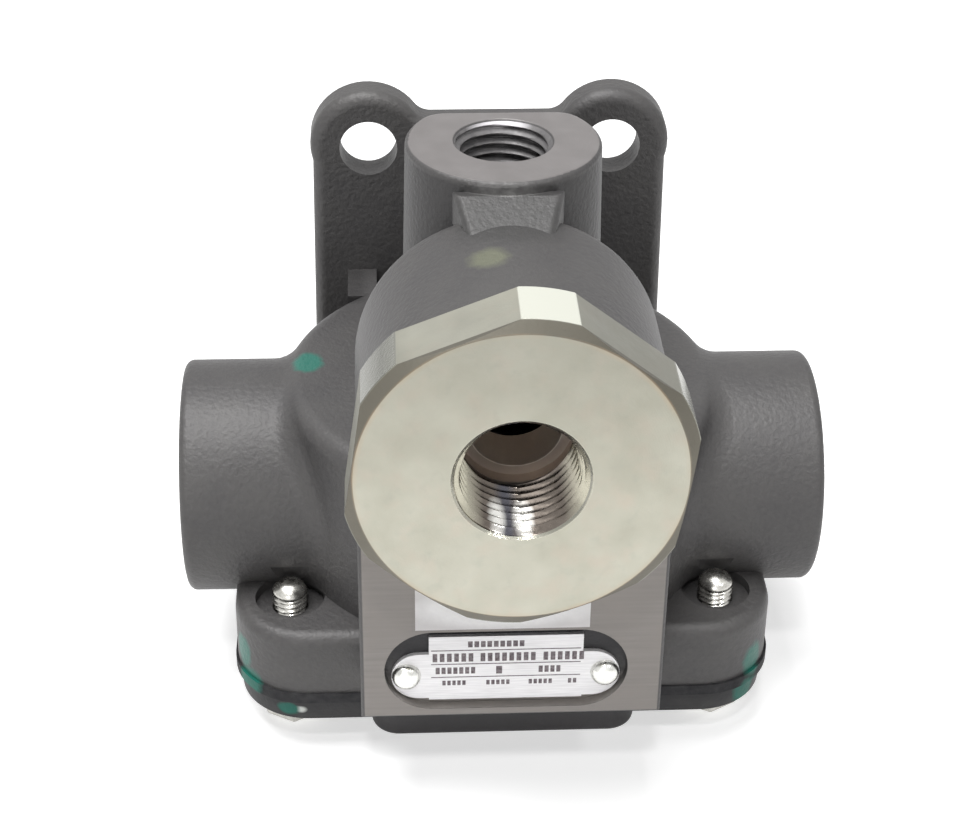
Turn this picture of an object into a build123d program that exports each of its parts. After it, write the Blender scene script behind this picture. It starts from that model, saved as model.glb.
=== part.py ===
from build123d import *
import os

# Quick release valve with a double check valve in its inlet.
# Millimetres, +Z up, the front with the hexagon inlet looks along -Y.
# The origin is the centre of the exhaust mouth.

os.makedirs("parts", exist_ok=True)

# Heights
part_z = 10.7
gasket_t = 1.6
cover_t = 3.4
flange_top = 20.5
port_z = 29.8
roof_z = 36.0
chamber_top = 47.0
duct_z = 42.5
check_z = 58.6
boss_top = 82.5

# Housing
chamber_r = 30.7
flange_x = 76.0
flange_y = 54.0
flange_corner = 10.5
port_r = 16.75
port_end = 45.0
boss_root_r = 14.1
boss_draft = 1.2
boss_rim = 0.7
boss_sink = 8.0
boss_flat = 9.3
boss_edge = 4.0
block_w = 40.5
block_front = -37.4
block_rear = -12.0
block_bottom = 14.6
plate_w = 54.6
plate_top_w = 53.0
plate_front = 31.0
plate_t = 5.0
ear_x = 18.2
ear_z = 67.0
ear_r = 8.7
saddle_z = 71.0
mount_hole_r = 4.3
rib_x = 19.5
rib_w = 4.4
rib_top = 46.6
rib_l = 9.0
foot_l = 12.0
web_w = 12.0
web_drop = 6.0
wedge_w = 14.5
wedge_front_w = 10.5
wedge_reach = 6.5
wedge_drop = 1.0
wedge_end = 1.2
wedge_sink = 2.5
wedge_edge = 1.0
root_sink = 2.0
plate_sink = 0.5
shoulder_fillet = 2.5
rim_fillet = 1.2
junction_fillet = 4.5
cast_fillet = 1.8
block_fillet = 0.8
block_back_fillet = 4.0
saddle_fillet = 3.0

# Threaded ports, drawn at the root of the thread, with the tapping drill below it
small_tap_r = 5.65
small_root_r = 6.6
small_mouth_r = 6.85
small_thread_l = 12.0
large_tap_r = 7.35
large_root_r = 8.35
large_mouth_r = 8.65
large_thread_l = 12.0
top_port_depth = 16.0
side_port_depth = 15.0
duct_r = 4.0
duct_y = -20.0
throat_r = 6.0
break_through = 1.0

# Screws and what they pass through
screw_x = 30.2
screw_y = 17.5
thread_r = 2.5
thread_gap = 0.05
spot_r = 4.9
spot_floor = 19.0
spot_lip = 0.1
end_room_r = 3.1
end_room = 1.2
clear_gap = 0.3
screw_round = 1.6
screw_end = 23.2
head_af = 8.0
head_h = 3.4
washer_t = 1.2
washer_r = 4.3
washer_gap = 0.2
head_bevel = 0.5

# Release chamber, cover and diaphragm
cavity_r = 22.9
channel_w = 3.0
register_gap = 0.08
register_h = 3.2
seat_top = 20.0
seat_r = 9.5
exhaust_r = 7.0
exhaust_w = 38.0
exhaust_d = 48.5
exhaust_corner = 4.0
exhaust_edge = 1.0
cover_inset = 0.5
nose_bottom = 26.5
nose_r = 8.5
disc_t = 3.5
disc_gap = 0.3
notches = 8
disc_lift = 0.05
notch_r = 2.4
gasket_lip = 0.3
gasket_gap = 0.4

# Check valve
hex_af = 41.3
hex_turn = -8.0
hex_turned_r = 22.15
hex_face_r = 20.5
hex_l = 8.6
hex_bevel = 0.95
adapter_bore_r = 13.2
adapter_thread_l = 10.8
adapter_tap_depth = 12.6
bore_clear = 0.5
spigot_gap = 0.05
spigot_end = -26.4
check_r = 11.8
check_rear = -14.0
nose_l = 1.0
check_nose_r = 8.0
seal_bore_r = 15.4
seal_t = 1.7
seal_gap = 0.05
facing_stem_r = 3.0
shuttle_l = 5.0
shuttle_r = 8.8
facing_t = 1.4
facing_r = 8.2
fin_w = 2.2
fin_gap = 0.06
seat_gap = 0.05

# Plate, pins and label on the front of the block
recess_w = 32.5
recess_h = 13.0
recess_z = 22.6
recess_x = -0.8
recess_depth = 1.5
type_w = 20.6
type_h = 10.6
lobe_w = 30.6
lobe_h = 7.4
type_t = 0.6
type_z = 22.3
lobe_z = 21.0
pin_x = 13.3
pin_z = 21.2
pin_r = 1.2
pin_head_r = 1.95
pin_l = 5.0
pin_head_h = 1.3
pin_gap = 0.02
pin_end_gap = 0.2
label_w = 23.0
label_h = 6.6
label_drop = 25.7
label_x = -1.4
label_t = 0.15


def across(y, z=0.0):
    """Plane standing across the Y axis, facing the front, with X right and Z up."""
    return Plane(origin=(0, y, z), x_dir=(1, 0, 0), z_dir=(0, -1, 0))


stand = (Align.CENTER, Align.CENTER, Align.MIN)
screw_spots = [(sx * screw_x, sy * screw_y) for sy in (-1, 1) for sx in (-1, 1)]
pin_spots = [(recess_x - pin_x, pin_z), (recess_x + pin_x, pin_z)]
adapter_front = block_front - hex_l
cover_top = part_z - gasket_t
cover_bottom = cover_top - cover_t
block_top = check_z + block_w / 2
disc_r = cavity_r - disc_gap

# Block for the check valve, round at the top and square to the foot
with BuildPart() as check_block:
    with BuildSketch(across(block_rear)):
        with Locations((0, check_z)):
            Circle(block_w / 2)
        with Locations((0, (check_z + block_bottom) / 2)):
            Rectangle(block_w, check_z - block_bottom)
    extrude(amount=block_rear - block_front)
    fillet(check_block.faces().sort_by(Axis.Y)[0].edges(), block_fillet)
    fillet(check_block.faces().sort_by(Axis.Y)[-1].edges().filter_by(GeomType.CIRCLE), block_back_fillet)

# Bolting flange
with BuildPart() as bolting_flange:
    with BuildSketch(Plane.XY.offset(part_z)):
        RectangleRounded(flange_x, flange_y, flange_corner)
    extrude(amount=flange_top - part_z)
    fillet(bolting_flange.edges().group_by(Axis.Z)[-1], cast_fillet)

# Mounting plate with two ears
with BuildPart() as mounting_plate:
    with BuildSketch(across(plate_front + plate_t)):
        with BuildLine():
            Polyline(
                (-plate_w / 2, part_z),
                (plate_w / 2, part_z),
                (plate_top_w / 2, ear_z),
                (ear_x, saddle_z),
                (-ear_x, saddle_z),
                (-plate_top_w / 2, ear_z),
                close=True,
            )
        make_face()
        with Locations((-ear_x, ear_z), (ear_x, ear_z)):
            Circle(ear_r)
    extrude(amount=plate_t)
    corners = mounting_plate.edges().filter_by(Axis.Y).filter_by(lambda e: abs(e.center().X) < ear_x)
    fillet(corners, saddle_fillet)
    fillet(mounting_plate.faces().sort_by(Axis.Y)[0].edges(), cast_fillet)

# Wedge that fills the corner between the top boss and the block, narrower at its front
wedge_top = boss_top - boss_rim - wedge_drop
wedge_front = -boss_root_r - wedge_reach
with BuildPart() as corner_wedge:
    with BuildSketch(Plane.XY.offset(block_top - wedge_sink)):
        with BuildLine():
            Polyline(
                (-wedge_w / 2, -boss_root_r + root_sink),
                (wedge_w / 2, -boss_root_r + root_sink),
                (wedge_front_w / 2, wedge_front),
                (-wedge_front_w / 2, wedge_front),
                close=True,
            )
        make_face()
    extrude(amount=wedge_top - block_top + wedge_sink)
    with BuildSketch(Plane.YZ):
        with BuildLine():
            Polyline(
                (-boss_root_r + boss_rim, wedge_top),
                (wedge_front, block_top - wedge_end),
                (wedge_front, wedge_top),
                close=True,
            )
        make_face()
    extrude(amount=wedge_w / 2, both=True, mode=Mode.SUBTRACT)
    slope = corner_wedge.faces().filter_by(lambda f: 0.5 < f.normal_at().Z < 0.99)
    fillet(slope.edges().filter_by(lambda e: abs(e.center().X) > wedge_front_w / 3), wedge_edge)

# Valve body, one aluminium die casting
with BuildPart() as valve_body:
    # Round release chamber with the two delivery bosses through it
    with BuildSketch(Plane.XY.offset(part_z)):
        Circle(chamber_r)
    extrude(amount=chamber_top - part_z)
    fillet(valve_body.edges().group_by(Axis.Z)[-1], shoulder_fillet)
    with BuildSketch(Plane.YZ):
        with Locations((0, port_z)):
            Circle(port_r)
    extrude(amount=port_end, both=True)
    rims = valve_body.edges().filter_by(GeomType.CIRCLE)
    fillet(rims.filter_by(lambda e: abs(e.center().X) > port_end - 0.1), rim_fillet)
    seams = valve_body.edges().filter_by(lambda e: 20 < abs(e.center().X) < 32)
    seams = seams.filter_by(lambda e: e.geom_type not in (GeomType.CIRCLE, GeomType.LINE))
    fillet(seams, junction_fillet)
    # Top boss, drafted as cast and flat at the back, with a rounded rim at the face
    with BuildSketch(Plane.XY.offset(chamber_top - boss_sink)):
        Circle(boss_root_r)
    extrude(amount=boss_top - chamber_top + boss_sink, taper=boss_draft)
    with BuildSketch(Plane.XY.offset(saddle_z)):
        with Locations((0, boss_flat)):
            Rectangle(2 * boss_root_r, boss_root_r, align=(Align.CENTER, Align.MIN))
    extrude(amount=boss_top - saddle_z, mode=Mode.SUBTRACT)
    uprights = valve_body.edges().filter_by(lambda e: saddle_z + 1 < e.center().Z < boss_top - 1)
    fillet(uprights.filter_by(lambda e: abs(e.center().Y - boss_flat) < 1), boss_edge)
    fillet(valve_body.edges().group_by(Axis.Z)[-1], boss_rim)
    add(check_block.part)
    add(corner_wedge.part)
    add(bolting_flange.part)
    add(mounting_plate.part)
    # Foot, ribs and web that tie the plate to the chamber
    with BuildSketch(Plane.XY.offset(part_z)):
        with Locations((0, plate_front + plate_sink - foot_l / 2)):
            Rectangle(plate_w, foot_l)
    extrude(amount=flange_top - part_z)
    with BuildSketch(Plane.XY.offset(part_z)):
        with Locations(*[(x, plate_front + plate_sink - rib_l / 2) for x in (-rib_x, rib_x)]):
            Rectangle(rib_w, rib_l)
    extrude(amount=rib_top - part_z)
    with BuildSketch(Plane.YZ):
        with BuildLine():
            Polyline(
                (boss_root_r - web_w / 4, chamber_top - root_sink),
                (plate_front + plate_sink, chamber_top - root_sink),
                (plate_front + plate_sink, saddle_z - web_drop),
                (boss_root_r - web_w / 4, saddle_z),
                close=True,
            )
        make_face()
    extrude(amount=web_w / 2, both=True)

    # Ports in the top boss and in the two delivery bosses
    with Locations((0, 0, boss_top)):
        CounterSinkHole(small_root_r, small_mouth_r, small_thread_l, counter_sink_angle=90)
        Hole(small_tap_r, top_port_depth)
    with Locations(Plane(origin=(port_end, 0, port_z), z_dir=(1, 0, 0))):
        CounterSinkHole(large_root_r, large_mouth_r, large_thread_l, counter_sink_angle=90)
        Hole(large_tap_r, side_port_depth)
    with Locations(Plane(origin=(-port_end, 0, port_z), z_dir=(-1, 0, 0))):
        CounterSinkHole(large_root_r, large_mouth_r, large_thread_l, counter_sink_angle=90)
        Hole(large_tap_r, side_port_depth)
    with BuildSketch(Plane.YZ):
        with Locations((0, port_z)):
            Circle(throat_r)
    extrude(amount=port_end - side_port_depth + break_through, both=True, mode=Mode.SUBTRACT)

    # Release chamber, open below, with the supply nose left standing in its roof
    with BuildSketch(Plane.XY.offset(part_z)):
        Circle(cavity_r)
    extrude(amount=nose_bottom - part_z, mode=Mode.SUBTRACT)
    with BuildSketch(Plane.XY.offset(nose_bottom)):
        Circle(cavity_r)
        Circle(nose_r, mode=Mode.SUBTRACT)
    extrude(amount=roof_z - nose_bottom, mode=Mode.SUBTRACT)

    # Check valve bore from the front, with its rear nose left standing
    with BuildSketch(across(block_front)):
        with Locations((0, check_z)):
            Circle(seal_bore_r)
    extrude(amount=-seal_t, mode=Mode.SUBTRACT)
    with BuildSketch(across(block_front)):
        with Locations((0, check_z)):
            Circle(adapter_bore_r)
    extrude(amount=block_front - spigot_end - bore_clear, mode=Mode.SUBTRACT)
    with BuildSketch(across(block_front)):
        with Locations((0, check_z)):
            Circle(check_r)
    extrude(amount=block_front - check_rear + nose_l, mode=Mode.SUBTRACT)
    with BuildSketch(across(check_rear - nose_l)):
        with Locations((0, check_z)):
            Circle(check_r)
            Circle(check_nose_r, mode=Mode.SUBTRACT)
    extrude(amount=-nose_l, mode=Mode.SUBTRACT)

    # Ducts: rear seat to the top port, check bore down and back to the supply nose
    with BuildSketch(across(check_rear - nose_l)):
        with Locations((0, check_z)):
            Circle(throat_r)
    extrude(amount=check_rear - nose_l, mode=Mode.SUBTRACT)
    with BuildSketch(Plane.XY.offset(check_z)):
        Circle(duct_r)
    extrude(amount=boss_top - top_port_depth - check_z + break_through, mode=Mode.SUBTRACT)
    with BuildSketch(Plane.XY.offset(duct_z)):
        with Locations((0, duct_y)):
            Circle(duct_r)
    extrude(amount=check_z - check_r - duct_z + 2 * break_through, mode=Mode.SUBTRACT)
    with BuildSketch(across(duct_y - duct_r, duct_z)):
        Circle(duct_r)
    extrude(amount=duct_y - duct_r, mode=Mode.SUBTRACT)
    with BuildSketch(Plane.XY.offset(nose_bottom)):
        Circle(throat_r)
    extrude(amount=duct_z - nose_bottom, mode=Mode.SUBTRACT)

    # Tapped screw holes with a round hollow and room for the screw ends above them
    with Locations(*[(x, y, part_z) for x, y in screw_spots]):
        Cylinder(thread_r + thread_gap, flange_top - part_z, align=stand, mode=Mode.SUBTRACT)
    with Locations(*[(x, y, spot_floor) for x, y in screw_spots]):
        Cylinder(spot_r, flange_top - spot_floor + spot_lip, align=stand, mode=Mode.SUBTRACT)
        Cylinder(end_room_r, screw_end - spot_floor + end_room, align=stand, mode=Mode.SUBTRACT)

    # Mounting holes through the ears
    with BuildSketch(across(plate_front + plate_t)):
        with Locations((-ear_x, ear_z), (ear_x, ear_z)):
            Circle(mount_hole_r)
    extrude(amount=plate_t, mode=Mode.SUBTRACT)

    # Recess for the type plate and the two holes for its pins
    with BuildSketch(across(block_front)):
        with Locations((recess_x, recess_z)):
            SlotOverall(recess_w, recess_h)
    extrude(amount=-recess_depth, mode=Mode.SUBTRACT)
    with BuildSketch(across(block_front + recess_depth)):
        with Locations(*pin_spots):
            Circle(pin_r)
    extrude(amount=-pin_l, mode=Mode.SUBTRACT)

# Hexagon inlet adapter, turned and threaded into the block
with BuildPart() as inlet_adapter:
    with BuildSketch(across(block_front)):
        with Locations((0, check_z)):
            RegularPolygon(hex_af / 2, 6, major_radius=False, rotation=30 + hex_turn)
    extrude(amount=hex_l)
    with BuildSketch(Plane.YZ):
        with BuildLine():
            Polyline(
                (block_front, check_z),
                (block_front, check_z + hex_turned_r),
                (adapter_front + hex_bevel, check_z + hex_turned_r),
                (adapter_front, check_z + hex_face_r),
                (adapter_front, check_z),
                close=True,
            )
        make_face()
    revolve(axis=Axis((0, 0, check_z), (0, 1, 0)), mode=Mode.INTERSECT)
    with BuildSketch(across(spigot_end - nose_l)):
        with Locations((0, check_z)):
            Circle(adapter_bore_r - spigot_gap)
    extrude(amount=spigot_end - nose_l - block_front)
    with BuildSketch(across(spigot_end + seat_gap)):
        with Locations((0, check_z)):
            Circle(check_nose_r)
    extrude(amount=nose_l + seat_gap)
    with Locations(Plane(origin=(0, adapter_front, check_z), z_dir=(0, -1, 0))):
        CounterSinkHole(large_root_r, large_mouth_r, adapter_thread_l, counter_sink_angle=90)
        Hole(large_tap_r, adapter_tap_depth)
    with BuildSketch(across(spigot_end + seat_gap)):
        with Locations((0, check_z)):
            Circle(throat_r)
    extrude(amount=spigot_end - block_front, mode=Mode.SUBTRACT)

# Sealing ring that the hexagon clamps into the mouth of the bore
with BuildPart() as adapter_seal:
    with BuildSketch(across(block_front + seal_t)):
        with Locations((0, check_z)):
            Circle(seal_bore_r - seal_gap)
            Circle(adapter_bore_r, mode=Mode.SUBTRACT)
    extrude(amount=seal_t)

# Shuttle of the check valve, a finned disc that leaves air room around it
shuttle_rear = check_rear - nose_l - seat_gap
with BuildPart() as shuttle:
    with BuildSketch(across(shuttle_rear - facing_t)):
        with Locations((0, check_z)):
            Circle(shuttle_r)
            for turn in (0, 90):
                Rectangle(2 * (check_r - fin_gap), fin_w, rotation=45 + turn)
            Circle(check_r - fin_gap, mode=Mode.INTERSECT)
    extrude(amount=shuttle_l - 2 * facing_t)
    with BuildSketch(across(shuttle_rear)):
        with Locations((0, check_z)):
            Circle(facing_stem_r)
    extrude(amount=shuttle_l)

# Rubber facings on the two ends of the shuttle
facings = []
for front_y in (shuttle_rear - shuttle_l + facing_t, shuttle_rear):
    with BuildPart() as facing:
        with BuildSketch(across(front_y)):
            with Locations((0, check_z)):
                Circle(facing_r)
                Circle(facing_stem_r, mode=Mode.SUBTRACT)
        extrude(amount=facing_t)
    facings.append(facing)

# Release diaphragm, a rubber disc with a notched rim
with BuildPart() as release_diaphragm:
    with BuildSketch(Plane.XY.offset(seat_top + disc_lift)):
        Circle(disc_r)
        with PolarLocations(disc_r, notches):
            Circle(notch_r, mode=Mode.SUBTRACT)
    extrude(amount=disc_t)

# Gasket between the body and the cover
with BuildPart() as cover_gasket:
    with BuildSketch(Plane.XY.offset(cover_top)):
        RectangleRounded(flange_x + 2 * gasket_lip, flange_y + 2 * gasket_lip, flange_corner)
        Circle(cavity_r, mode=Mode.SUBTRACT)
        with Locations(*screw_spots):
            Circle(thread_r + gasket_gap, mode=Mode.SUBTRACT)
    extrude(amount=gasket_t)

# Bottom cover with the exhaust boss below and the exhaust seat above
with BuildPart() as bottom_cover:
    with BuildSketch(Plane.XY.offset(cover_bottom)):
        RectangleRounded(flange_x - 2 * cover_inset, flange_y - 2 * cover_inset, flange_corner - cover_inset)
    extrude(amount=cover_t)
    with BuildSketch():
        RectangleRounded(exhaust_w, exhaust_d, exhaust_corner)
    extrude(amount=cover_bottom)
    fillet(bottom_cover.edges().group_by(Axis.Z)[0], exhaust_edge)
    with BuildSketch(Plane.XY.offset(cover_top)):
        Circle(cavity_r - register_gap)
    extrude(amount=register_h)
    with BuildSketch(Plane.XY.offset(cover_top)):
        Circle(seat_r)
    extrude(amount=seat_top - cover_top)
    with BuildSketch(Plane.XY.offset(cover_top)):
        Circle(cavity_r - channel_w)
        Circle(seat_r, mode=Mode.SUBTRACT)
    extrude(amount=register_h, mode=Mode.SUBTRACT)
    with BuildSketch():
        Circle(exhaust_r)
    extrude(amount=seat_top, mode=Mode.SUBTRACT)
    with Locations(*[(x, y, cover_bottom) for x, y in screw_spots]):
        Cylinder(thread_r + clear_gap, cover_t, align=stand, mode=Mode.SUBTRACT)

# Cover screws from below, their round ends standing out of the flange
head_top = cover_bottom - washer_t
cover_screws = []
for x, y in screw_spots:
    with BuildPart() as screw:
        with BuildSketch(Plane.XY.offset(head_top - head_h)):
            with Locations((x, y)):
                RegularPolygon(head_af / 2, 6, major_radius=False)
        extrude(amount=head_h)
        chamfer(screw.edges().group_by(Axis.Z)[0], head_bevel)
        with Locations((x, y, head_top)):
            Cylinder(thread_r, screw_end - head_top, align=stand)
        fillet(screw.edges().group_by(Axis.Z)[-1], screw_round)
    cover_screws.append(screw)

# Spring washers under the screw heads
lock_washers = []
for x, y in screw_spots:
    with BuildPart() as washer:
        with BuildSketch(Plane.XY.offset(head_top)):
            with Locations((x, y)):
                Circle(washer_r)
                Circle(thread_r + washer_gap, mode=Mode.SUBTRACT)
        extrude(amount=washer_t)
    lock_washers.append(washer)

# Bare type plate lying in the recess
with BuildPart() as type_plate:
    with BuildSketch(across(block_front + recess_depth)):
        with Locations((recess_x, type_z)):
            Rectangle(type_w, type_h)
        with Locations((recess_x, lobe_z)):
            SlotOverall(lobe_w, lobe_h)
        with Locations(*pin_spots):
            Circle(pin_r, mode=Mode.SUBTRACT)
    extrude(amount=type_t)

# Round head drive pins that hold the type plate
plate_pins = []
for x, z in pin_spots:
    with BuildPart() as pin:
        with BuildSketch(across(block_front + recess_depth - type_t)):
            with Locations((x, z)):
                Circle(pin_head_r)
        extrude(amount=pin_head_h)
        fillet(pin.edges().group_by(Axis.Y)[0], pin_head_h - pin_gap)
        with BuildSketch(across(block_front + recess_depth - type_t)):
            with Locations((x, z)):
                Circle(pin_r - pin_gap)
        extrude(amount=-(type_t + pin_l - pin_end_gap))
    plate_pins.append(pin)

# White label stuck on the block under the adapter
with BuildPart() as block_label:
    with BuildSketch(across(block_front)):
        with Locations((label_x, check_z - label_drop)):
            Rectangle(label_w, label_h)
    extrude(amount=label_t)

pieces = {
    "valve_body": valve_body,
    "inlet_adapter": inlet_adapter,
    "adapter_seal": adapter_seal,
    "shuttle": shuttle,
    "shuttle_facing_front": facings[0],
    "shuttle_facing_rear": facings[1],
    "release_diaphragm": release_diaphragm,
    "cover_gasket": cover_gasket,
    "bottom_cover": bottom_cover,
    "type_plate": type_plate,
    "plate_pin_left": plate_pins[0],
    "plate_pin_right": plate_pins[1],
    "block_label": block_label,
}
corner_names = ("front_left", "front_right", "rear_left", "rear_right")
for corner, screw, washer in zip(corner_names, cover_screws, lock_washers):
    pieces["cover_screw_" + corner] = screw
    pieces["lock_washer_" + corner] = washer
for name, piece in pieces.items():
    piece.part.label = name
    export_step(piece.part, "parts/" + name + ".step")
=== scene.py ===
import math

import bpy
from mathutils import Matrix, Vector


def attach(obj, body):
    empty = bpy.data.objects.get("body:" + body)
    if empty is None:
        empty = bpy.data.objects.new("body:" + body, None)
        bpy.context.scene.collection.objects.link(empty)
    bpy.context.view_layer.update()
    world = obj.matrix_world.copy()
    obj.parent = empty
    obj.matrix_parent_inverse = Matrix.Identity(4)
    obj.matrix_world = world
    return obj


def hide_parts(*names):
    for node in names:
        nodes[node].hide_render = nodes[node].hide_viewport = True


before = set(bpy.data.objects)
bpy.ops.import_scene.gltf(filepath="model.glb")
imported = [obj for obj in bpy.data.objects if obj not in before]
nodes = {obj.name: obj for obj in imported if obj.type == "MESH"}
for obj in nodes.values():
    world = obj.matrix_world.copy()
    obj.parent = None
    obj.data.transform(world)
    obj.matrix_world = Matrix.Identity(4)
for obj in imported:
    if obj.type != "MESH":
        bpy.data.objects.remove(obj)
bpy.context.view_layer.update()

# Camera of the photograph: a long lens, in front of the valve and about 32 degrees above it,
# turned three degrees to its left. It was solved from the valve's own edges.
mm = 0.001
azimuth, elevation, roll = math.radians(-3.01), math.radians(32.06), math.radians(0.64)
target = Vector((-3.0, 0.0, 40.15)) * mm
back = Vector((math.sin(azimuth) * math.cos(elevation), -math.cos(azimuth) * math.cos(elevation), math.sin(elevation)))
side = (-back).cross(Vector((0, 0, 1))).normalized()
above = side.cross(-back)
right = math.cos(roll) * side + math.sin(roll) * above
up = math.cos(roll) * above - math.sin(roll) * side
lens = bpy.data.cameras.new("photo_lens")
lens.sensor_width = 36.0
lens.lens = 2100.0 / 956 * 36.0
lens.clip_start, lens.clip_end = 0.01, 50.0
camera = bpy.data.objects.new("photo_camera", lens)
bpy.context.scene.collection.objects.link(camera)
camera.matrix_world = Matrix.Translation(target + back * 302.16 * mm) @ Matrix((right, up, back)).transposed().to_4x4()
bpy.context.scene.camera = camera
bpy.context.scene.view_settings.view_transform = "Standard"


# White paper under the valve and a plain white tent round it, brighter on the left. A broad soft
# lamp hangs above, a low one stands in front, and two small ones over the lens make the glints.
def add_node(tree, kind, inputs=None, **settings):
    """Adds a node. An input takes another node's socket, or a value."""
    made = tree.nodes.new("ShaderNode" + kind)
    for key, value in settings.items():
        setattr(made, key, value)
    for key, value in (inputs or {}).items():
        if isinstance(value, bpy.types.NodeSocket):
            tree.links.new(value, made.inputs[key])
        else:
            made.inputs[key].default_value = value
    return made


def math_node(tree, operation, first, second=0.0, clamp=False):
    """A sum, product or other plain step between two sockets or numbers."""
    return add_node(tree, "Math", {0: first, 1: second}, operation=operation, use_clamp=clamp).outputs[0]


bpy.ops.object.select_all(action="DESELECT")
bpy.ops.mesh.primitive_grid_add(x_subdivisions=8, y_subdivisions=8, size=8.0)
paper = bpy.context.object
paper.name = "paper"
paper_finish = bpy.data.materials.new("white_paper")
paper_finish.use_nodes = True
tree = paper_finish.node_tree
lit_paper = tree.nodes["Principled BSDF"]
lit_paper.inputs["Base Color"].default_value = (0.72, 0.72, 0.72, 1)
lit_paper.inputs["Roughness"].default_value = 0.8
rays = add_node(tree, "LightPath")
seen = math_node(tree, "MAXIMUM", rays.outputs["Is Camera Ray"], rays.outputs["Is Glossy Ray"])
seen = math_node(tree, "MAXIMUM", seen, rays.outputs["Is Transmission Ray"])
tree.links.new(math_node(tree, "MULTIPLY", seen, 0.60), lit_paper.inputs["Emission Strength"])
lit_paper.inputs["Emission Color"].default_value = (1, 1, 1, 1)
paper.data.materials.append(paper_finish)

tent = bpy.data.worlds.new("white_tent")
bpy.context.scene.world = tent
tent.use_nodes = True
tree = tent.node_tree
lit_tent = tree.nodes["Background"]
way = add_node(tree, "SeparateXYZ", {0: add_node(tree, "TexCoord").outputs["Generated"]})
level = add_node(tree, "MapRange", {"Value": way.outputs[0], "From Min": -0.7, "From Max": 0.7, "To Min": 0.62, "To Max": 0.34})
tree.links.new(level.outputs[0], lit_tent.inputs["Strength"])
white_tent = add_node(tree, "Background", {"Color": (1, 1, 1, 1), "Strength": 1.0})
rays = add_node(tree, "LightPath")
seen = math_node(tree, "MAXIMUM", rays.outputs["Is Camera Ray"], rays.outputs["Is Transmission Ray"])
seen = math_node(tree, "MAXIMUM", seen, rays.outputs["Is Glossy Ray"])
mixed = add_node(tree, "MixShader", {0: seen, 1: lit_tent.outputs[0], 2: white_tent.outputs[0]})
tree.links.new(mixed.outputs[0], tree.nodes["World Output"].inputs[0])


def lamp(name, place, size, power):
    """A square soft lamp that points at the middle of the valve."""
    light = bpy.data.lights.new(name, "AREA")
    light.shape, light.size, light.energy = "DISK", size, power
    stand = bpy.data.objects.new(name, light)
    bpy.context.scene.collection.objects.link(stand)
    stand.location = place
    stand.rotation_mode = "QUATERNION"
    stand.rotation_quaternion = (Vector(place) - Vector((0, 0, 0.04))).to_track_quat("Z", "Y")


lamp("overhead_lamp", (-0.25, -0.05, 1.25), 0.8, 18.6)
lamp("left_lamp", (-0.07, -0.66, 1.09), 0.12, 3.0)
lamp("right_lamp", (0.61, -0.61, 0.95), 0.12, 2.0)
lamp("front_lamp", (-0.25, -1.1, 0.35), 0.6, 2.0)


def metal(name, colour, roughness, metallic):
    """A new material with its node tree and surface shader."""
    made = bpy.data.materials.new(name)
    made.use_nodes = True
    surface = made.node_tree.nodes["Principled BSDF"]
    surface.inputs["Base Color"].default_value = (*colour, 1)
    surface.inputs["Roughness"].default_value = roughness
    surface.inputs["Metallic"].default_value = metallic
    return made, made.node_tree, surface


def place_of(tree):
    """Place on the object, in millimetres, whole and as three sockets."""
    scaled = add_node(tree, "VectorMath", {0: add_node(tree, "TexCoord").outputs["Object"], 3: 1000.0}, operation="SCALE")
    parts = add_node(tree, "SeparateXYZ", {0: scaled.outputs[0]})
    return scaled.outputs[0], parts.outputs[0], parts.outputs[1], parts.outputs[2]


def noise(tree, place, size, detail=2.0, low=0.3, high=0.7):
    """Blotches of about that many millimetres, from 0 to 1."""
    made = add_node(tree, "TexNoise", {"Vector": place, "Scale": 1.0 / size, "Detail": detail})
    return add_node(tree, "MapRange", {"Value": made.outputs[0], "From Min": low, "From Max": high}).outputs[0]


def blend(tree, share, first, second):
    """Goes from the first colour to the second as share goes from 0 to 1."""
    made = add_node(tree, "Mix", {0: share}, data_type="RGBA")
    for socket, colour in ((made.inputs[6], first), (made.inputs[7], second)):
        if isinstance(colour, bpy.types.NodeSocket):
            tree.links.new(colour, socket)
        else:
            socket.default_value = (*colour, 1)
    return made.outputs[2]


def blend_value(tree, share, first, second):
    """Goes from the first number to the second as share goes from 0 to 1."""
    made = add_node(tree, "Mix", {0: share, 2: first, 3: second}, data_type="FLOAT")
    return made.outputs[0]


def beyond(tree, value, limit, soft=0.1):
    """1 where the value is above the limit, and 0 below it."""
    made = add_node(tree, "MapRange", {"Value": value, "From Min": limit - soft, "From Max": limit + soft})
    return made.outputs[0]


def spot(tree, place, centre, size, ragged=0.35, soft=0.12):
    """1 inside a ragged oval about that centre and half size, in millimetres."""
    moved = add_node(tree, "VectorMath", {0: place, 1: centre}, operation="SUBTRACT")
    scaled = add_node(tree, "VectorMath", {0: moved.outputs[0], 1: size}, operation="DIVIDE")
    far = add_node(tree, "VectorMath", {0: scaled.outputs[0]}, operation="LENGTH").outputs["Value"]
    edge = add_node(tree, "TexNoise", {"Vector": place, "Scale": 0.6, "Detail": 3.0}).outputs[0]
    wavy = math_node(tree, "ADD", far, math_node(tree, "MULTIPLY", edge, ragged))
    return math_node(tree, "SUBTRACT", 1.0, beyond(tree, wavy, 1.0 + ragged / 2, soft))


def bump(tree, surface, height, depth, under=None):
    """Raises the surface by height times depth, in millimetres."""
    made = add_node(tree, "Bump", {"Height": height, "Strength": 1.0, "Distance": depth * mm})
    if under:
        tree.links.new(under, made.inputs["Normal"])
    tree.links.new(made.outputs[0], surface.inputs["Normal"])
    return made.outputs[0]


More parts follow.
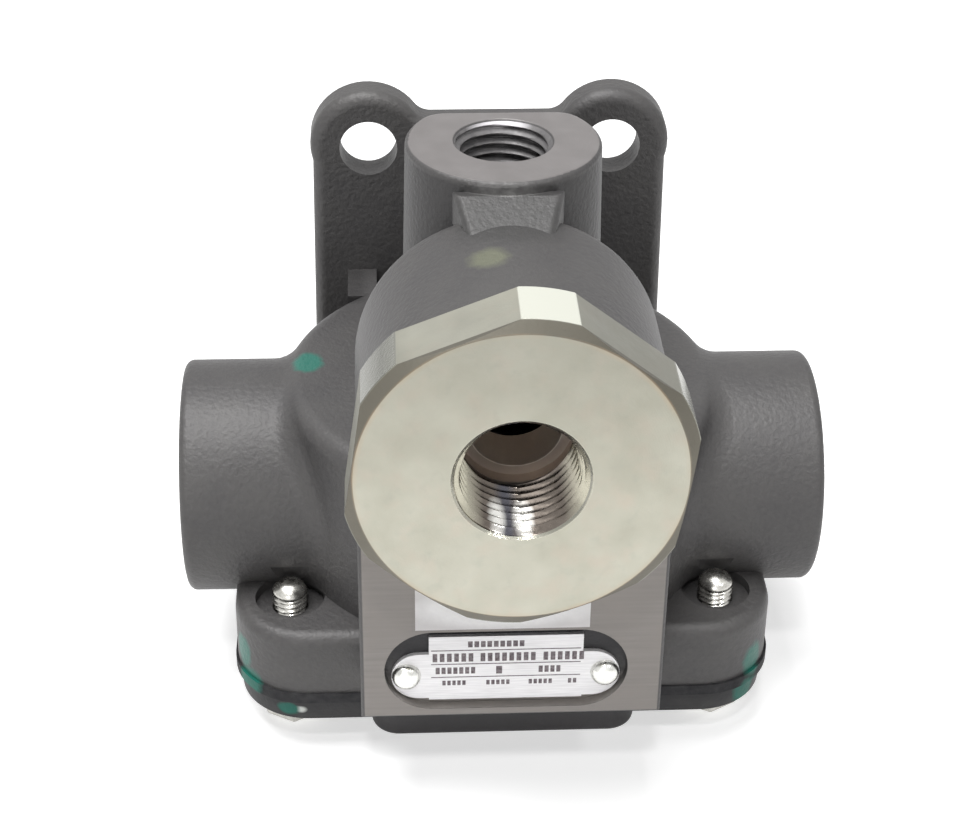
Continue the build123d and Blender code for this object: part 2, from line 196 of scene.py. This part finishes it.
paint = (0.014, 0.130, 0.098)
paint_dabs = (
    ((-27.3, 2.4, 46.9), (2.1, 2.6, 2.0)),
    ((-36.9, -21.4, 14.0), (1.6, 2.2, 2.6)),
    ((-36.2, -23.2, 10.0), (2.2, 2.6, 2.2)),
    ((35.3, -23.9, 12.6), (1.7, 2.4, 2.5)),
    ((34.4, -24.2, 7.4), (1.8, 2.6, 2.3)),
    ((-30.8, -26.2, 7.2), (1.6, 1.5, 1.0)),
)


def painted(tree, surface, place, dabs=paint_dabs):
    """Daubs the inspector's green paint over what the surface has so far."""
    share = None
    for centre, size in dabs:
        dab = spot(tree, place, centre, size, 0.6, 0.22)
        share = dab if share is None else math_node(tree, "MAXIMUM", share, dab)
    for socket, value in (("Base Color", paint), ("Roughness", 0.45), ("Metallic", 0.0)):
        old = surface.inputs[socket]
        if socket == "Base Color":
            first = old.links[0].from_socket if old.links else tuple(old.default_value)[:3]
            new = blend(tree, share, first, value)
        else:
            first = old.links[0].from_socket if old.links else old.default_value
            new = blend_value(tree, share, first, value)
        tree.links.new(new, old)


def both(tree, first, second):
    return math_node(tree, "MULTIPLY", first, second)


def either(tree, first, second):
    return math_node(tree, "MAXIMUM", first, second)


def away(tree, value):
    return math_node(tree, "ABSOLUTE", value)


def opposite(tree, share):
    return math_node(tree, "SUBTRACT", 1.0, share)


def radius(tree, first, second, middle=0.0):
    """Distance from an axis, from the two coordinates across it."""
    low = math_node(tree, "SUBTRACT", second, middle)
    squares = math_node(tree, "ADD", math_node(tree, "MULTIPLY", first, first), math_node(tree, "MULTIPLY", low, low))
    return math_node(tree, "SQRT", squares)


def tool_marks(tree, distance, pitch):
    """Fine ridges left by a cutter, one for each pitch, from 0 to 1."""
    wave = math_node(tree, "SINE", math_node(tree, "MULTIPLY", distance, 2 * math.pi / pitch))
    return math_node(tree, "MULTIPLY_ADD", wave, 0.5)


body_finish, tree, surface = metal("cast_aluminium", (0.2, 0.195, 0.192), 0.5, 0.25)
place, x, y, z = place_of(tree)
blotches = noise(tree, place, 9.0, 4.0)
grain = noise(tree, place, 0.7, 3.0)
skin = blend(tree, blotches, (0.060, 0.0575, 0.059), (0.076, 0.073, 0.072))
skin = blend(tree, both(tree, grain, 0.4), skin, (0.094, 0.091, 0.088))
block_face = both(tree, opposite(tree, beyond(tree, y, -37.33, 0.03)), beyond(tree, y, -37.6, 0.05))
boss_face = beyond(tree, z, 82.44, 0.03)
port_faces = beyond(tree, away(tree, x), 44.93, 0.03)
streaks = add_node(tree, "Mapping", {"Vector": place, "Scale": (0.05, 1.0, 1.6)}).outputs[0]
milled = blend(tree, noise(tree, streaks, 0.8, 3.0), (0.208, 0.192, 0.180), (0.250, 0.232, 0.218))
milled = blend(tree, noise(tree, place, 5.0, 3.0), milled, (0.238, 0.218, 0.202))
turned = blend(tree, noise(tree, place, 4.0, 3.0), (0.172, 0.160, 0.157), (0.201, 0.188, 0.185))
skin = blend(tree, block_face, skin, milled)
skin = blend(tree, either(tree, boss_face, port_faces), skin, turned)
# Painted shade and light in the type plate's recess: its top band is painted nearly black as the shadow under the
# recess's top wall, and its bottom is painted pale as painted light.
recess = both(tree, both(tree, beyond(tree, y, -37.3, 0.03), opposite(tree, beyond(tree, y, -35.8, 0.05))),
              both(tree, opposite(tree, beyond(tree, away(tree, math_node(tree, "ADD", x, 0.8)), 16.6, 0.1)),
                   opposite(tree, beyond(tree, away(tree, math_node(tree, "SUBTRACT", z, 22.6)), 6.8, 0.1))))
skin = blend(tree, both(tree, recess, opposite(tree, beyond(tree, z, 19.5, 1.5))), skin, (0.300, 0.280, 0.262))
skin = blend(tree, both(tree, recess, beyond(tree, z, 23.5, 1.5)), skin, (0.016, 0.015, 0.017))
# The rough gate mark on the wedge is mottled by its chips and painted darker as painted shade.
gate = spot(tree, place, (-0.2, -17.0, 79.6), (7.6, 5.6, 3.4), 0.5, 0.2)
chips = noise(tree, place, 1.3, 5.0, 0.35, 0.65)
skin = blend(tree, both(tree, gate, blend_value(tree, chips, 0.6, 0.95)), skin, (0.053, 0.052, 0.051))
# Painted shade: the sides of the top boss, below its face and away from the gate mark, are painted darker.
boss_side_shade = both(tree, opposite(tree, beyond(tree, radius(tree, x, y), 14.5, 0.2)),
                 both(tree, beyond(tree, z, 62.0, 3.0), opposite(tree, beyond(tree, z, 81.6, 0.2))))
# Painted light: the strip of the top boss's wall behind the gate mark is painted pale.
boss_wall = opposite(tree, beyond(tree, radius(tree, x, y), 13.5, 0.1))
skin = blend(tree, both(tree, both(tree, boss_wall, gate), 0.9), skin, (0.200, 0.196, 0.192))
boss_side_shade = both(tree, boss_side_shade, opposite(tree, gate))
skin = blend(tree, both(tree, boss_side_shade, 0.5), skin, (0.020, 0.019, 0.020))
# Painted shade: the ribs between the chamber and the plate are painted darker on their lower part and outer sides.
rib_y = both(tree, beyond(tree, y, 20.0, 0.5), opposite(tree, beyond(tree, y, 30.6, 0.3)))
rib_low = either(tree, opposite(tree, beyond(tree, z, 44.8, 0.8)), beyond(tree, away(tree, x), 19.2, 0.8))
skin = blend(tree, both(tree, both(tree, rib_y, rib_low), both(tree, beyond(tree, z, 40.0, 1.0), 0.4)), skin, (0.012, 0.011, 0.012))
stain = spot(tree, place, (-3.2, -26.0, 78.4), (2.4, 2.2, 1.6), 0.9, 0.35)
skin = blend(tree, both(tree, stain, 0.6), skin, (0.190, 0.200, 0.130))
tree.links.new(skin, surface.inputs["Base Color"])
cut = either(tree, either(tree, boss_face, port_faces), block_face)
tree.links.new(blend_value(tree, cut, 0.52, 0.40), surface.inputs["Roughness"])
rough = blend_value(tree, cut, grain, 0.0)
sand = bump(tree, surface, rough, 0.05)
rings = either(tree, both(tree, boss_face, tool_marks(tree, radius(tree, x, y), 0.35)),
               both(tree, port_faces, tool_marks(tree, radius(tree, y, z, 29.8), 0.35)))
marks = either(tree, rings, both(tree, block_face, tool_marks(tree, z, 0.5)))
broken = bump(tree, surface, both(tree, gate, chips), 0.012, sand)
bump(tree, surface, marks, 0.006, broken)
painted(tree, surface, place)
nodes["valve_body"].data.materials.clear()
nodes["valve_body"].data.materials.append(body_finish)

# Pipe threads cut in the ports: 18 turns to the inch, a little narrower with depth. Each is fitted
# on the wall of its port as a sleeve, whose first turns run out in the cone of the mouth.
pitch = 25.4 / 18


def close_seams(piece):
    """Merges the rolled-up grid's seam and poles and points its faces outwards."""
    bpy.ops.object.select_all(action="DESELECT")
    piece.select_set(True)
    bpy.context.view_layer.objects.active = piece
    bpy.ops.object.mode_set(mode="EDIT")
    bpy.ops.mesh.select_all(action="SELECT")
    bpy.ops.mesh.remove_doubles(threshold=0.000002)
    bpy.ops.mesh.normals_make_consistent(inside=False)
    bpy.ops.object.mode_set(mode="OBJECT")
    bpy.ops.object.shade_smooth_by_angle(angle=math.radians(35))


def rolled_grid(name, columns, rows):
    """A flat grid with a column and row number for each vertex, ready to be rolled up."""
    bpy.ops.object.select_all(action="DESELECT")
    bpy.ops.mesh.primitive_grid_add(x_subdivisions=columns, y_subdivisions=rows, size=2.0)
    made = bpy.context.object
    made.name = name
    spots = [(v, round((v.co.x + 1) / 2 * columns), round((v.co.y + 1) / 2 * rows)) for v in made.data.vertices]
    return made, spots


def thread_height(turns, flat=0.12):
    """Height of a thread from its root, from 0 to 1, at a number of turns along it."""
    part = turns % 1.0
    slope = (1 - abs(2 * part - 1) - flat) / (1 - 2 * flat)
    return min(1.0, max(0.0, slope))


def port_thread(name, start, inward, across, root, crest, mouth, length, finish):
    """Sleeve with a helical thread inside, from the mouth at start along the way inward."""
    columns, step = 72, pitch / 9
    first = mouth - root
    inner = int((length - first) / step)
    made, spots = rolled_grid(name, columns, inner + 3)
    other = inward.cross(across)
    for vertex, column, row in spots:
        turn = column / columns
        if 1 <= row <= inner + 1:
            depth = first + (row - 1) * step
            height = thread_height(depth / pitch - turn)
            wall = root - (root - crest + depth / 32) * height
            wall = min(root - 0.01, max(wall, mouth - depth))
        else:
            depth = first + inner * step if row == inner + 2 else first
            wall = root + 0.03
        angle = 2 * math.pi * turn
        spoke = math.cos(angle) * across + math.sin(angle) * other
        vertex.co = (start + inward * depth + spoke * wall) * mm
    close_seams(made)
    made.data.materials.append(finish)
    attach(made, "housing")
    return made


bore_finish, tree, surface = metal("tapped_aluminium", (0.2, 0.19, 0.19), 0.5, 0.35)
place, x, y, z = place_of(tree)
tapped = blend(tree, noise(tree, place, 1.2, 3.0), (0.120, 0.116, 0.118), (0.180, 0.174, 0.174))
# Painted highlight: a pale spot on the first turn at the back of the top port.
top_thread_glint = both(tree, spot(tree, place, (-0.6, 6.5, 82.0), (4.2, 2.0, 0.5), 0.3, 0.5), 0.8)
tapped = blend(tree, top_thread_glint, tapped, (0.72, 0.70, 0.72))
tree.links.new(tapped, surface.inputs["Base Color"])
tree.links.new(blend_value(tree, noise(tree, place, 0.5, 2.0), 0.42, 0.58), surface.inputs["Roughness"])
left, forward, down = Vector((1, 0, 0)), Vector((0, 1, 0)), Vector((0, 0, -1))
port_thread("top_port_thread", Vector((0, 0, 82.5)), down, left, 6.6, 5.85, 6.85, 11.9, bore_finish)
port_thread("left_port_thread", Vector((-45, 0, 29.8)), left, forward, 8.35, 7.55, 8.65, 11.9, bore_finish)
port_thread("right_port_thread", Vector((45, 0, 29.8)), -left, forward, 8.35, 7.55, 8.65, 11.9, bore_finish)

# Inlet adapter: a turned steel hexagon with a yellowish passivated finish. Its corners are turned, the
# top corner painted much brighter as a painted highlight, its front bevel has a brownish tint under
# painted shade, and its port carries the larger thread.
adapter_finish, tree, surface = metal("passivated_steel", (0.5, 0.49, 0.41), 0.36, 0.9)
place, x, y, z = place_of(tree)
reach = radius(tree, x, z, 58.6)
coat = blend(tree, noise(tree, place, 7.0, 3.0), (0.385, 0.376, 0.312), (0.452, 0.443, 0.376))
coat = blend(tree, both(tree, noise(tree, place, 3.2, 4.0, 0.5, 0.8), 0.5), coat, (0.470, 0.400, 0.335))
coat = blend(tree, both(tree, noise(tree, place, 2.1, 4.0, 0.56, 0.8), 0.45), coat, (0.335, 0.345, 0.295))
face = opposite(tree, beyond(tree, y, -45.93, 0.03))
# Painted shade: the face is painted darker towards its top.
dimmed = blend(tree, 0.5, coat, (0.200, 0.196, 0.164))
coat = blend(tree, both(tree, face, beyond(tree, z, 66.0, 12.0)), coat, dimmed)
flats = opposite(tree, face)
coat = blend(tree, both(tree, flats, 0.5), coat, (0.320, 0.318, 0.275))
corners = both(tree, flats, beyond(tree, reach, 22.08, 0.03))
shaded = both(tree, flats, either(tree, beyond(tree, x, 4.0, 5.0), opposite(tree, beyond(tree, x, -16.0, 3.0))))
coat = blend(tree, both(tree, shaded, 0.6), coat, (0.170, 0.168, 0.145))
# Painted highlight: the turned corners are painted near white at the top and dull below.
bright = blend(tree, beyond(tree, z, 75.0, 2.0), (0.270, 0.270, 0.235), (0.850, 0.860, 0.760))
coat = blend(tree, corners, coat, bright)
# Painted shade: the far left corner is painted darker.
far_left = both(tree, corners, opposite(tree, beyond(tree, x, -12.0, 1.0)))
coat = blend(tree, both(tree, far_left, 0.6), coat, (0.110, 0.110, 0.095))
mouth = both(tree, opposite(tree, beyond(tree, reach, 8.75, 0.05)), opposite(tree, beyond(tree, y, -45.4, 0.1)))
# Painted light: the inside of the port is painted buff and its deep throat pale, where little light reaches.
inside = both(tree, opposite(tree, beyond(tree, reach, 8.3, 0.05)), beyond(tree, y, -40.0, 1.0))
coat = blend(tree, inside, coat, (0.400, 0.340, 0.295))
throat = both(tree, opposite(tree, beyond(tree, reach, 6.1, 0.05)), beyond(tree, y, -34.5, 0.5))
coat = blend(tree, throat, coat, (0.800, 0.720, 0.640))
# The front bevel is painted dark brown: a brownish tint with painted shade over it.
edge = both(tree, beyond(tree, reach, 20.45, 0.05), opposite(tree, beyond(tree, y, -45.1, 0.05)))
coat = blend(tree, both(tree, edge, 0.85), coat, (0.115, 0.105, 0.085))
rim = both(tree, both(tree, beyond(tree, reach, 20.1, 0.3), opposite(tree, beyond(tree, reach, 20.9, 0.25))), face)
coat = blend(tree, both(tree, rim, both(tree, noise(tree, place, 6.0, 2.0), 0.3)), coat, (0.430, 0.300, 0.180))
tree.links.new(coat, surface.inputs["Base Color"])
dull = blend_value(tree, noise(tree, place, 4.0, 4.0), 0.40, 0.52)
tree.links.new(blend_value(tree, either(tree, corners, mouth), dull, 0.26), surface.inputs["Roughness"])
grain = noise(tree, place, 0.45, 2.0)
fine = bump(tree, surface, grain, 0.012)
bump(tree, surface, both(tree, face, tool_marks(tree, reach, 0.3)), 0.003, fine)
nodes["inlet_adapter"].data.materials.clear()
nodes["inlet_adapter"].data.materials.append(adapter_finish)
thread_finish, tree, surface = metal("tapped_steel", (0.45, 0.43, 0.37), 0.3, 0.8)
place, x, y, z = place_of(tree)
# The front port's thread is dark brown in the middle.
thread_colour_and_painted_light = blend(tree, noise(tree, place, 2.5, 3.0), (0.130, 0.110, 0.094), (0.200, 0.172, 0.148))
# Painted reflection: a bluish streak along the thread.
painted_reflection_streak = both(tree, opposite(tree, beyond(tree, away(tree, math_node(tree, "ADD", x, 1.5)), 0.9, 0.6)), 0.8)
thread_colour_and_painted_light = blend(tree, painted_reflection_streak, thread_colour_and_painted_light, (0.085, 0.090, 0.115))
# Painted sheen: the sides of the thread are painted pale.
painted_side_sheen = beyond(tree, away(tree, math_node(tree, "ADD", x, -0.5)), 6.0, 1.1)
thread_colour_and_painted_light = blend(tree, painted_side_sheen, thread_colour_and_painted_light, (0.470, 0.450, 0.360))
# Painted highlights: two near-white spots at the bottom of the port's mouth.
painted_glints = either(tree, spot(tree, place, (-2.9, -42.5, 50.6), (1.1, 3.4, 1.6), 0.3, 0.35),
               spot(tree, place, (0.5, -42.5, 50.4), (1.2, 3.2, 1.6), 0.3, 0.35))
thread_colour_and_painted_light = blend(tree, painted_glints, thread_colour_and_painted_light, (0.900, 0.890, 0.850))
tree.links.new(thread_colour_and_painted_light, surface.inputs["Base Color"])
tree.links.new(blend_value(tree, noise(tree, place, 0.6, 2.0), 0.16, 0.3), surface.inputs["Roughness"])
port_thread("front_port_thread", Vector((0, -46, 58.6)), forward, left, 8.35, 7.55, 8.65, 10.7, thread_finish)

# Label: a white paper sticker under the hexagon, left bare. Its paper is a little uneven and it is
# greyer towards its edges.
label_finish, tree, surface = metal("label_paper", (0.92, 0.91, 0.91), 0.5, 0.0)
place, x, y, z = place_of(tree)
fibre = noise(tree, place, 0.5, 3.0)
label_middle = spot(tree, place, (-1.4, -37.5, 32.9), (11.2, 4.0, 3.0), 0.25, 0.2)
paper_tone = blend(tree, fibre, (0.94, 0.93, 0.94), (0.98, 0.97, 0.97))
tree.links.new(blend(tree, opposite(tree, label_middle), paper_tone, (0.74, 0.72, 0.72)), surface.inputs["Base Color"])
bump(tree, surface, fibre, 0.01)
nodes["block_label"].data.materials.clear()
nodes["block_label"].data.materials.append(label_finish)

# Type plate: soft silver sheet pinned in the recess. In place of any wording it carries plain
# dark bars, etched and filled, in four rows.
plate_finish, tree, surface = metal("type_plate_sheet", (0.9, 0.89, 0.9), 0.4, 0.2)
place, x, y, z = place_of(tree)
brushed = add_node(tree, "Mapping", {"Vector": place, "Scale": (0.12, 1.0, 2.2)}).outputs[0]
brush = noise(tree, brushed, 0.5, 3.0)
tree.links.new(blend(tree, brush, (0.80, 0.79, 0.80), (0.96, 0.95, 0.96)), surface.inputs["Base Color"])
tree.links.new(blend_value(tree, brush, 0.28, 0.42), surface.inputs["Roughness"])
bump(tree, surface, brush, 0.006)
nodes["type_plate"].data.materials.clear()
nodes["type_plate"].data.materials.append(plate_finish)
bar_rows = (
    (26.3, 1.0, 0.62, 0.24, ((-5.9, 1.2),)),
    (24.1, 1.4, 0.62, 0.34, ((-10.6, -4.9), (-4.2, 3.2), (4.2, 9.3))),
    (21.9, 1.1, 0.55, 0.24, ((-10.2, -4.9), (3.6, 6.4))),
    (19.8, 0.8, 0.45, 0.22, ((-9.3, -6.2), (-3.4, -0.5), (2.3, 5.1), (7.6, 8.5))),
)
marks = [(-1.7, 21.9, 0.8, 1.3)] + [(-0.8, line_z, 20.0, 0.16) for line_z in (25.3, 23.0, 20.8)]
for height, tall, wide, gap, runs in bar_rows:
    for start, end in runs:
        count = round((end - start + gap) / (wide + gap))
        marks += [(start + wide / 2 + i * (wide + gap), height, wide, tall) for i in range(count)]
bpy.ops.object.select_all(action="DESELECT")
bars = []
for centre_x, centre_z, wide, tall in marks:
    bpy.ops.mesh.primitive_cube_add(size=1.0)
    bar = bpy.context.object
    for vertex in bar.data.vertices:
        vertex.co = Vector((
            (centre_x + vertex.co.x * wide) * mm,
            (-36.49 + vertex.co.y * 0.06) * mm,
            (centre_z + vertex.co.z * tall) * mm,
        ))
    bars.append(bar)
for bar in bars:
    bar.select_set(True)
bpy.context.view_layer.objects.active = bars[0]
bpy.ops.object.join()
type_bars = bpy.context.object
type_bars.name = "type_plate_bars"
soften = type_bars.modifiers.new("soften", "BEVEL")
soften.width, soften.segments = 0.02 * mm, 1
soften.offset_type = "OFFSET"
bpy.ops.object.modifier_apply(modifier=soften.name)
bar_finish, tree, surface = metal("etched_fill", (0.16, 0.13, 0.14), 0.6, 0.0)
place, x, y, z = place_of(tree)
worn = noise(tree, place, 0.35, 3.0, 0.35, 0.75)
tree.links.new(blend(tree, worn, (0.11, 0.085, 0.095), (0.30, 0.265, 0.275)), surface.inputs["Base Color"])
type_bars.data.materials.append(bar_finish)
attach(type_bars, "housing")

# Drive pins: two round steel heads that hold the plate. They are plated bright and lightly scuffed.
pin_finish, tree, surface = metal("bright_pin", (0.72, 0.72, 0.68), 0.25, 1.0)
place, x, y, z = place_of(tree)
scuffs = noise(tree, place, 0.6, 4.0)
tree.links.new(blend(tree, scuffs, (0.62, 0.62, 0.59), (0.82, 0.82, 0.78)), surface.inputs["Base Color"])
tree.links.new(blend_value(tree, scuffs, 0.2, 0.38), surface.inputs["Roughness"])
bump(tree, surface, scuffs, 0.01)
for name in ("plate_pin_left", "plate_pin_right"):
    nodes[name].data.materials.clear()
    nodes[name].data.materials.append(pin_finish)

# Gasket and cover: a black rubber gasket clamped under the body, and a dark coated cover below it.
# The cover's lower corners carry a faint painted reflection of the floor and a painted highlight,
# its exhaust boss is painted lighter as painted light, and the paint has run over both.
gasket_finish, tree, surface = metal("gasket_rubber", (0.022, 0.022, 0.024), 0.7, 0.0)
place, x, y, z = place_of(tree)
dusty = noise(tree, place, 1.6, 4.0)
tree.links.new(blend(tree, dusty, (0.016, 0.016, 0.018), (0.045, 0.044, 0.046)), surface.inputs["Base Color"])
surface.inputs["Specular IOR Level"].default_value = 0.22
bump(tree, surface, noise(tree, place, 0.5, 2.0), 0.02)
painted(tree, surface, place)
nodes["cover_gasket"].data.materials.clear()
nodes["cover_gasket"].data.materials.append(gasket_finish)
cover_finish, tree, surface = metal("coated_cover", (0.06, 0.06, 0.06), 0.45, 0.1)
place, x, y, z = place_of(tree)
patchy = noise(tree, place, 6.0, 4.0)
coating = blend(tree, patchy, (0.028, 0.028, 0.030), (0.048, 0.047, 0.048))
# Painted light: the exhaust boss below 5.5 mm is painted lighter.
coating = blend(tree, opposite(tree, beyond(tree, z, 5.5, 0.1)), coating, (0.100, 0.097, 0.099))
# Painted reflection: the cover's lower outer corners are painted faintly lighter, as the floor in them.
low_edge = both(tree, opposite(tree, beyond(tree, z, 6.9, 0.5)), beyond(tree, away(tree, x), 27.5, 2.0))
floor_reflection_edge = both(tree, low_edge, noise(tree, place, 3.0, 4.0, 0.35, 0.7))
coating = blend(tree, both(tree, floor_reflection_edge, 0.2), coating, (0.16, 0.165, 0.155))
glint = spot(tree, place, (-28.9, -26.4, 7.3), (0.8, 0.9, 0.5), 0.6, 0.35)
coating = blend(tree, glint, coating, (0.60, 0.62, 0.59))
tree.links.new(coating, surface.inputs["Base Color"])
tree.links.new(blend_value(tree, patchy, 0.45, 0.6), surface.inputs["Roughness"])
surface.inputs["Specular IOR Level"].default_value = 0.25
bump(tree, surface, noise(tree, place, 0.7, 3.0), 0.03)
painted(tree, surface, place)
nodes["bottom_cover"].data.materials.clear()
nodes["bottom_cover"].data.materials.append(cover_finish)

# Cover screws: zinc plated steel, put in from below. Their threaded shanks end in a dome that
# stands up out of the spot faces in the flange.
screw_pitch = 0.8
zinc_finish, tree, surface = metal("zinc_plate", (0.6, 0.58, 0.54), 0.26, 1.0)
place, x, y, z = place_of(tree)
plating = noise(tree, place, 0.8, 4.0)
zinc = blend(tree, plating, (0.46, 0.45, 0.42), (0.68, 0.67, 0.63))
tree.links.new(zinc, surface.inputs["Base Color"])
tree.links.new(blend_value(tree, plating, 0.2, 0.32), surface.inputs["Roughness"])


def cover_screw(corner, centre_x, centre_y):
    """A hexagon screw with a full thread, from its head at the bottom to its dome at the top."""
    crest, root, top, plain, head_top, head_low = 2.48, 2.1, 23.2, 21.4, 4.5, 1.1
    columns, step = 32, screw_pitch / 8
    rows = int((top - head_top) / step)
    shank, spots = rolled_grid("shank_" + corner, columns, rows + 2)
    for vertex, column, row in spots:
        turn = column / columns
        level = min(max(row - 1, 0), rows)
        height = head_top + (top - head_top) * level / rows
        cut = thread_height(height / screw_pitch - turn) if height < plain else 1.0
        wall = root + (crest - root) * cut
        below = top - height
        dome = crest * math.sqrt(max(0.0, 1 - (1 - min(below, 1.7) / 1.7) ** 2))
        wall = 0.0 if row in (0, rows + 2) else min(wall, dome)
        angle = 2 * math.pi * turn
        vertex.co = Vector((centre_x + wall * math.cos(angle), centre_y + wall * math.sin(angle), height)) * mm
    close_seams(shank)
    bpy.ops.object.select_all(action="DESELECT")
    bpy.ops.mesh.primitive_cylinder_add(
        vertices=6, radius=8.0 / math.sqrt(3) * mm, depth=(head_top - head_low) * mm,
        location=Vector((centre_x, centre_y, (head_top + head_low) / 2)) * mm,
    )
    head = bpy.context.object
    bpy.ops.object.transform_apply(location=True, rotation=True, scale=True)
    edge = head.modifiers.new("edge", "BEVEL")
    edge.width, edge.segments = 0.35 * mm, 3
    bpy.ops.object.modifier_apply(modifier=edge.name)
    bpy.ops.object.shade_smooth_by_angle(angle=math.radians(35))
    shank.select_set(True)
    bpy.context.view_layer.objects.active = head
    bpy.ops.object.join()
    head.name = "screw_" + corner
    head.data.materials.clear()
    head.data.materials.append(zinc_finish)
    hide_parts("cover_screw_" + corner)
    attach(head, "housing")


for corner, sx, sy in (("front_left", -1, -1), ("front_right", 1, -1), ("rear_left", -1, 1), ("rear_right", 1, 1)):
    cover_screw(corner, sx * 30.2, sy * 17.5)
    nodes["lock_washer_" + corner].data.materials.clear()
    nodes["lock_washer_" + corner].data.materials.append(zinc_finish)

# Check valve: a brown moulded shuttle with buff rubber facings, and the ring that seals the adapter.
# It is only seen down the front port.
shuttle_finish, tree, surface = metal("moulded_shuttle", (0.2, 0.13, 0.08), 0.4, 0.0)
place, x, y, z = place_of(tree)
tree.links.new(blend(tree, noise(tree, place, 2.0, 3.0), (0.16, 0.10, 0.06), (0.26, 0.17, 0.11)), surface.inputs["Base Color"])
bump(tree, surface, noise(tree, place, 0.4, 2.0), 0.01)
nodes["shuttle"].data.materials.clear()
nodes["shuttle"].data.materials.append(shuttle_finish)
rubber_finish, tree, surface = metal("seal_rubber", (0.03, 0.03, 0.032), 0.55, 0.0)
place, x, y, z = place_of(tree)
tree.links.new(blend(tree, noise(tree, place, 1.5, 3.0), (0.022, 0.022, 0.024), (0.05, 0.05, 0.052)), surface.inputs["Base Color"])
bump(tree, surface, noise(tree, place, 0.3, 2.0), 0.01)
for name in ("adapter_seal", "release_diaphragm"):
    nodes[name].data.materials.clear()
    nodes[name].data.materials.append(rubber_finish)
facing_finish, tree, surface = metal("facing_rubber", (0.2, 0.16, 0.13), 0.6, 0.0)
place, x, y, z = place_of(tree)
# Painted light: the facings' buff is painted paler, deep down the front port where little light reaches.
tree.links.new(blend(tree, noise(tree, place, 2.0, 3.0), (0.52, 0.46, 0.40), (0.64, 0.57, 0.50)), surface.inputs["Base Color"])
bump(tree, surface, noise(tree, place, 0.4, 2.0), 0.01)
for name in ("shuttle_facing_front", "shuttle_facing_rear"):
    nodes[name].data.materials.clear()
    nodes[name].data.materials.append(facing_finish)
